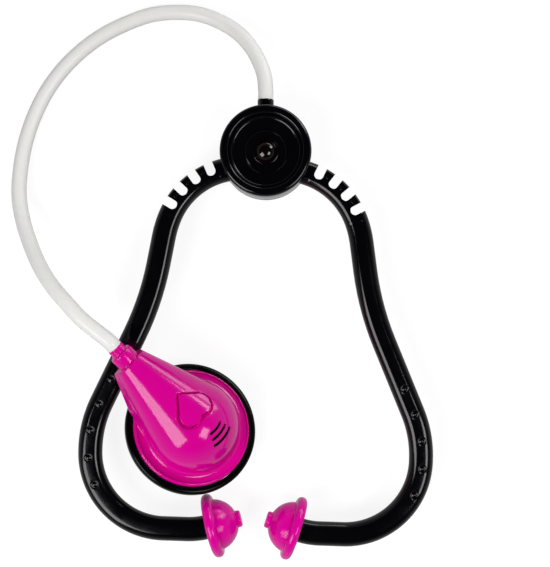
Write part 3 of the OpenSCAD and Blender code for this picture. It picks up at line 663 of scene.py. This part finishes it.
def notch(angle):
    bm = bmesh.new()
    bmesh.ops.create_cube(bm, size=1)
    bmesh.ops.scale(bm, vec=(NOTCH_LEN, NOTCH_W, NOTCH_TALL), verts=bm.verts)
    bmesh.ops.translate(bm, vec=(NOTCH_FLOOR + NOTCH_LEN / 2, 0, 0), verts=bm.verts)
    floor = [e for e in bm.edges if upright(e) and all(v.co.x < NOTCH_FLOOR + 1 for v in e.verts)]
    bmesh.ops.bevel(bm, geom=floor, offset=NOTCH_W / 2 - HAIR, affect="EDGES",
                    segments=10, profile=0.5, material=-1)
    bmesh.ops.transform(bm, matrix=COMB_CENTRE @ turn("Z", angle), verts=bm.verts)
    return rough_piece(bm, "notch")


def over_teeth():
    bm = bmesh.new()
    bmesh.ops.create_grid(bm, x_segments=1, y_segments=1, size=0.5)
    bmesh.ops.scale(bm, vec=(OVER_W, OVER_TALL, 1), verts=bm.verts)
    outside = shift(TEETH_R + OVER_W / 2, 0, TEETH_TOP + OVER_TALL / 2)
    bmesh.ops.transform(bm, matrix=turn("Z", NOTCHES[-1]) @ outside @ turn("X", 90), verts=bm.verts)
    bmesh.ops.spin(bm, geom=every(bm), cent=(0, 0, 0), axis=(0, 0, 1),
                   angle=math.radians(NOTCHES[0] - NOTCHES[-1]), steps=18)
    bmesh.ops.transform(bm, matrix=COMB_CENTRE, verts=bm.verts)
    return rough_piece(bm, "over_teeth")


print("teeth lowered by", round(ARM_H / 2 - TEETH_TOP, 2), "mm")

# %% Flex combs
TEETH = [(a + b) / 2 for a, b in zip(NOTCHES, NOTCHES[1:])]
DIMPLE = [(0, 2.3), (0.5, 2.3), (0.9, 2.7), (0, 2.7)]
DIMPLE_R = 34
COMB_EDGE = 0.25

for name, left in SIDES:
    bm = arm_section()
    sweep(bm, [(COMB_R, END_ANGLE - ROOT_ANGLE)])
    bmesh.ops.transform(bm, matrix=at_comb(ROOT_ANGLE), verts=bm.verts)
    comb = rough_piece(bm, name + "_notched_comb")
    for angle in NOTCHES:
        join(comb, notch(angle), "DIFFERENCE")
    join(comb, over_teeth(), "DIFFERENCE")
    for angle in TEETH:
        dimple = turned(DIMPLE, steps=24)
        on_tooth = COMB_CENTRE @ turn("Z", angle) @ shift(DIMPLE_R, 0, 0)
        bmesh.ops.transform(dimple, matrix=on_tooth, verts=dimple.verts)
        join(comb, rough_piece(dimple, "dimple"), "DIFFERENCE")
    soft_edges(comb, COMB_EDGE)
    put(comb, headset_side(left), black_gloss, "black_plastic", name + "_flex_comb")
    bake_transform(comb)

# %% [markdown]
# ## Arms
# An arm runs through straights and bends from the comb to the ear tip. Its lower part carries five
# round marks, as the pins of a mould leave them. The marks could be a bump in the finish, but cut rings
# give real edges that shine. A pin at the end holds the ear tip.

# %% Arms
LEGS = [
    (43.3, -11.136), (11.4, 0), (117.5, 14.8), (30.7, 0), (46.2, -24.1),
    (1, 0), (30.8, -90), (9.6, 0), (30, -16.5),
]
MARKS = [70.5 + 11.1 * i for i in range(5)]
MARK = [(0, 3.68), (0.5, 3.66), (0.8, 3.48), (1.1, 3.36), (1.4, 3.34), (1.7, 3.44), (2.1, 3.8), (0, 3.8)]
MARK_OFF_LINE = 0.3
PIN = [(0, -0.5), (2.5, -0.5), (2.5, 6.5), (0, 6.5)]


def along(distance):
    here = Matrix()
    for size, bend in LEGS:
        length = size * math.radians(abs(bend)) if bend else size
        if distance <= length:
            share = distance / length
            return here @ leg_end(size if bend else size * share, bend * share)
        here = here @ leg_end(size, bend)
        distance -= length
    return here


ARM_START = at_comb(END_ANGLE)
for name, left in SIDES:
    bm = arm_section()
    arm_end = sweep(bm, LEGS)
    arm = rough_piece(bm, name + "_curved_arm")
    for distance in MARKS:
        mark = turned(MARK, steps=32)
        bmesh.ops.transform(mark, matrix=along(distance) @ shift(0, MARK_OFF_LINE, 0), verts=mark.verts)
        join(arm, rough_piece(mark, "mark"), "DIFFERENCE")
    pin = turned(PIN, soft=[((2,), 0.4)], steps=32)
    bmesh.ops.transform(pin, matrix=arm_end @ turn("Y", 90), verts=pin.verts)
    join(arm, rough_piece(pin, "pin"), "UNION")
    put(arm, headset_side(left) @ ARM_START, black_gloss, "black_plastic", name + "_arm")
    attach(arm, name + "_arm")

# %% [markdown]
# ## Ear tips
# Soft magenta hats: a wide flange with a round edge, a dome, and a small end. They could be cut from a
# ball, but one turned line gives the flange, the dome and the hollow for the pin at once. The mould was
# turned too, and its cutter left faint ripples in the dome next to the flange.

# %% Ear tips
FLANGE = [(0, 6.6), (2.6, 6.6), (2.6, 0), (13, 0), (13, 4.2), (10.6, 4.2)]
SMALL_END = [(3.3, 14), (0, 14)]
DOME_R, DOME_RISE = 10.49, 2.21
DOME_FROM, DOME_TO, DOME_PARTS = 12, 71, 120
RIPPLE, RIPPLED_PARTS, PARTS_PER_RIPPLE = 0.02, 70, 8


def rippled_dome():
    line = []
    for i, (r, z) in enumerate(arc(0, 0, 1, DOME_FROM, DOME_TO, DOME_PARTS)):
        fade = max(0, 1 - i / RIPPLED_PARTS)
        size = DOME_R + RIPPLE * fade * math.sin(2 * math.pi * i / PARTS_PER_RIPPLE)
        line.append((r * size, DOME_RISE + z * size))
    return line


for name, left in SIDES:
    line = FLANGE + rippled_dome() + SMALL_END
    end_corner = len(line) - 2
    hat = turned(line, soft=[((3, 4), 2.0), ((end_corner,), 0.6)], steps=96)
    tip = rough_piece(hat, name + "_ear_hat")
    on_pin = headset_side(left) @ ARM_START @ arm_end @ turn("Y", 90)
    put(tip, on_pin, soft_magenta, "magenta_plastic", name + "_ear_tip")
    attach(tip, name + "_arm")

# %% [markdown]
# ## Heart outline
# The heart is a square with two round lobes. It could be drawn point by point, but a cube and two
# cylinders give straight sides and true circles. Each lobe stands on the middle of one side, and is a
# little larger than half of it. One outline serves three times: for a soft moat in the shell, for the
# hole in it, and for the heart itself.

# %% Heart outline
HEART_X, HEART_W = 4.4, 14.4
LOBE = 0.52
HEART_SIDE = HEART_W / (2 * LOBE + math.sqrt(0.5))
CUT_LOW, CUT_HIGH = 12, 40


def heart_bar(grow, low, high):
    place = shift(HEART_X + HEART_SIDE, 0, 0) @ turn("Z", 90)
    side, radius = HEART_SIDE + 2 * grow, HEART_SIDE * LOBE + grow
    bm = bmesh.new()
    bmesh.ops.create_cube(bm, size=1)
    bmesh.ops.scale(bm, vec=(side, side, high - low), verts=bm.verts)
    bmesh.ops.translate(bm, vec=(HEART_SIDE / 2, HEART_SIDE / 2, (low + high) / 2), verts=bm.verts)
    bmesh.ops.transform(bm, matrix=place @ turn("Z", 45), verts=bm.verts)
    bar = rough_piece(bm, "heart_bar")
    for way in (-1, 1):
        lobe = turned([(0, low), (radius, low), (radius, high), (0, high)], steps=96)
        middle = shift(way * HEART_SIDE / math.sqrt(8), 3 * HEART_SIDE / math.sqrt(8), 0)
        bmesh.ops.transform(lobe, matrix=place @ middle, verts=lobe.verts)
        join(bar, rough_piece(lobe, "lobe"), "UNION")
    return bar


print("heart square", round(HEART_SIDE, 2), "mm")

# %% [markdown]
# ## Chest piece
# The magenta shell is a ball with a cone that runs into it, straight neck sides and a saucer. Moulded
# plastic has no sharp inner corners. Bevels would fail where so many forms meet, so the forms are
# united by a fine remesh and smoothed until they flow into each other. Skin that is still close to the
# ball and the cone is then laid exactly on them, so that highlights run straight.

# %% Teardrop and skin
BALL_R = 18.9
CONE_START, CONE_START_R, NECK_R = 6.254, 17.764, 6.75
SLANT = 19.325
TRUE_REACH = 0.1


def teardrop(grow, length):
    ball = BALL_R + grow
    far = NECK_R + grow + (CONE_START_R - NECK_R) * (NECK_LEN - length) / (NECK_LEN - CONE_START)
    line = arc(0, 0, ball, -90, SLANT, 40) + [(far, length), (0, length)]
    bm = turned(line, steps=160)
    bmesh.ops.transform(bm, matrix=TO_NECK, verts=bm.verts)
    return bm


def moulded(obj, voxel, passes):
    step = obj.modifiers.new("one_skin", "REMESH")
    step.mode = "VOXEL"
    step.voxel_size = voxel
    calm = obj.modifiers.new("calm", "SMOOTH")
    calm.factor = 0.5
    calm.iterations = passes
    settle(obj)


def true_up(obj, grow):
    back = TO_NECK.inverted()
    rise, fall = math.sin(math.radians(SLANT)), math.cos(math.radians(SLANT))
    for vert in obj.data.vertices:
        place = back @ vert.co
        r = max(math.hypot(place.x, place.y), 1e-6)
        out = place.normalized()
        if place.z * fall > r * rise:
            out = Vector((place.x / r * fall, place.y / r * fall, rise))
        miss = place.dot(out) - BALL_R - grow
        near = min(1, max(0, 2 - abs(miss) / TRUE_REACH))
        vert.co = TO_NECK @ (place - out * miss * near)


print("ball", BALL_R, "mm, neck", NECK_R, "mm")

# %% Neck sides
NECK_SIDE_IN, NECK_SIDE_DROP = 0.99, 40
UNDERSIDE, UNDERSIDE_EDGE, UNDERSIDE_SLOPE = 4.6, 24.1, math.radians(30.066)


def hull(bm):
    bmesh.ops.delete(bm, geom=bm.edges[:], context="EDGES_FACES")
    bmesh.ops.convex_hull(bm, input=bm.verts)
    bmesh.ops.delete(bm, geom=[v for v in bm.verts if not v.link_faces], context="VERTS")


def neck_sides():
    bm = bmesh.new()
    for s, y in ((CONE_START, CONE_START_R * NECK_SIDE_IN), (NECK_LEN, NECK_R * NECK_SIDE_IN)):
        for way in (-1, 1):
            for drop in (0, NECK_SIDE_DROP):
                bm.verts.new((drop, way * y, s))
    bmesh.ops.transform(bm, matrix=TO_NECK, verts=bm.verts)
    hull(bm)
    slanted = (-math.sin(UNDERSIDE_SLOPE), 0, math.cos(UNDERSIDE_SLOPE))
    for x, up in ((0, (0, 0, 1)), (UNDERSIDE_EDGE, slanted)):
        bmesh.ops.bisect_plane(bm, geom=every(bm), plane_co=(x, 0, UNDERSIDE), plane_no=up,
                               clear_inner=True)
        hull(bm)
    return bm


print("underside slopes by", round(math.degrees(UNDERSIDE_SLOPE), 1), "degrees")

# %% Shell skin
SAUCER = [(0, 2), (24, 2), (24, 5)] + arc(21.03, 7.2, 2.2, 270, 185, 12) + [(12, 8), (0, 8)]
BELOW = [(0, -40), (60, -40), (60, 2), (0, 2)]
MOAT_W, MOAT_DEPTH = 0.9, 1.0
SHELL_VOXEL, SHELL_PASSES = 0.34, 14

shell = rough_piece(teardrop(0, NECK_LEN), "chest_shell_dome")
for form in (neck_sides(), turned(SAUCER, steps=160)):
    join(shell, rough_piece(form, "form"), "UNION")
join(shell, rough_piece(turned(BELOW, steps=32), "below"), "DIFFERENCE")
moat = heart_bar(MOAT_W, CUT_LOW, CUT_HIGH)
join(moat, rough_piece(teardrop(-MOAT_DEPTH, NECK_LEN), "moat_floor"), "DIFFERENCE")
join(shell, moat, "DIFFERENCE")
moulded(shell, SHELL_VOXEL, SHELL_PASSES)
true_up(shell, 0)
print("shell skin", len(shell.data.polygons), "faces")

# %% [markdown]
# ## Hollow and slots
# The shell is hollow for the sound unit, and three curved slots let the sound out. Black stripes could
# stand for the slots, but real cuts show depth from every side. They are made after the remesh, so that
# their edges stay crisp. A fine bead runs round the saucer.

# %% Hollow and slots
SLOT_W, SLOT_TALL, SLOT_MIDDLE = 1, 40, 25.5
SLOT_R, SLOT_PITCH = 11.6, 2.3
SLOT_HALF, SLOT_LONGER = 3, 0.9
WALL, END_WALL, HEART_GAP = 2, 2.5, 0.14
BEAD = arc(23.2, 5.0, 0.5, 0, 345, 23)
OPENING = [(0, 1), (16.53, 1), (16.53, BALL_HEIGHT), (0, BALL_HEIGHT)]


def slot_bar(i):
    radius = SLOT_R + SLOT_PITCH * i
    half = math.asin((SLOT_HALF + SLOT_LONGER * i) / radius) + SLOT_W / 2 / radius
    bm = bmesh.new()
    bmesh.ops.create_grid(bm, x_segments=1, y_segments=1, size=0.5)
    bmesh.ops.scale(bm, vec=(SLOT_W, SLOT_TALL, 1), verts=bm.verts)
    at_end = turn("Z", 180 - math.degrees(half)) @ shift(radius, 0, SLOT_MIDDLE)
    bmesh.ops.transform(bm, matrix=at_end @ turn("X", 90), verts=bm.verts)
    bmesh.ops.spin(bm, geom=every(bm), cent=(0, 0, 0), axis=(0, 0, 1), angle=2 * half, steps=12)
    ends = [e for e in bm.edges if upright(e) and e.calc_face_angle(0) > 1]
    bmesh.ops.bevel(bm, geom=ends, offset=SLOT_W / 2 - HAIR, affect="EDGES",
                    segments=6, profile=0.5, material=-1)
    bmesh.ops.translate(bm, vec=(HEART_X, 0, 0), verts=bm.verts)
    return rough_piece(bm, "slot")


hollow = rough_piece(teardrop(-WALL, NECK_LEN - END_WALL), "hollow")
join(hollow, rough_piece(turned(OPENING, steps=96), "opening"), "UNION")
join(shell, hollow, "DIFFERENCE")
join(shell, heart_bar(HEART_GAP, CUT_LOW, CUT_HIGH), "DIFFERENCE")
for i in range(3):
    join(shell, slot_bar(i), "DIFFERENCE")
bead = turned(BEAD, closed=True, steps=160)
join(shell, rough_piece(bead, "bead"), "UNION")
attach(put(shell, CHEST, magenta_gloss, "magenta_plastic", "chest_shell"), "chest")

# %% [markdown]
# ## Heart button
# The heart is a push button that follows the dome. It could be a copy of the hole's outline with a flat
# top, but a slightly larger teardrop inside the same outline has the dome's own curve. Its edge is
# softened until it is round, and a stem reaches down to the switch.

# %% Heart button
HEART_RISE, HEART_FOOT = 0.8, 19.5
HEART_VOXEL, HEART_PASSES = 0.17, 16
STEM = [(0, 13.3), (2, 13.3), (2, 20.5), (0, 20.5)]

heart = rough_piece(teardrop(HEART_RISE, NECK_LEN), "heart_cap")
join(heart, heart_bar(0, HEART_FOOT, CUT_HIGH), "INTERSECT")
moulded(heart, HEART_VOXEL, HEART_PASSES)
true_up(heart, HEART_RISE)
stem = turned(STEM, soft=[((1,), 0.3)], steps=32)
bmesh.ops.translate(stem, vec=(HEART_X, 0, 0), verts=stem.verts)
join(heart, rough_piece(stem, "stem"), "UNION")
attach(put(heart, CHEST, magenta_gloss, "magenta_plastic", "heart_button"), "heart")

# %% [markdown]
# ## Ring and ferrule
# The ring is a soft black bumper round the saucer. The ferrule is a collar in two steps that holds the
# tube on the neck. A ring could start from a torus, but both have flat sides with rounded corners, so
# they are turned too.

# %% Ring and ferrule
RING = [(24.1, 0), (27, 0), (27, 4.3), (24.1, 4.3)]
FERRULE = [
    (0, -2.4), (3.5, -2.4), (3.5, 0), (4.75, 0), (4.75, 5.2), (3.3, 5.2),
    (3.3, FERRULE_LEN), (0, FERRULE_LEN),
]

ring = turned(RING, soft=[((1, 2), 1.4), ((3,), 0.5)], closed=True, steps=160)
ring = rough_piece(ring, "rim_ring_bumper")
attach(put(ring, CHEST, dark_rubber, "black_rubber", "rim_ring"), "chest")
ferrule = turned(FERRULE, soft=[((4,), 0.9), ((6,), 0.35), ((5,), 0.3)], steps=64)
ferrule = rough_piece(ferrule, "ferrule_collar")
on_neck = NECK @ shift(0, 0, NECK_LEN)
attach(put(ferrule, on_neck, magenta_gloss, "magenta_plastic", "tube_ferrule"), "chest")
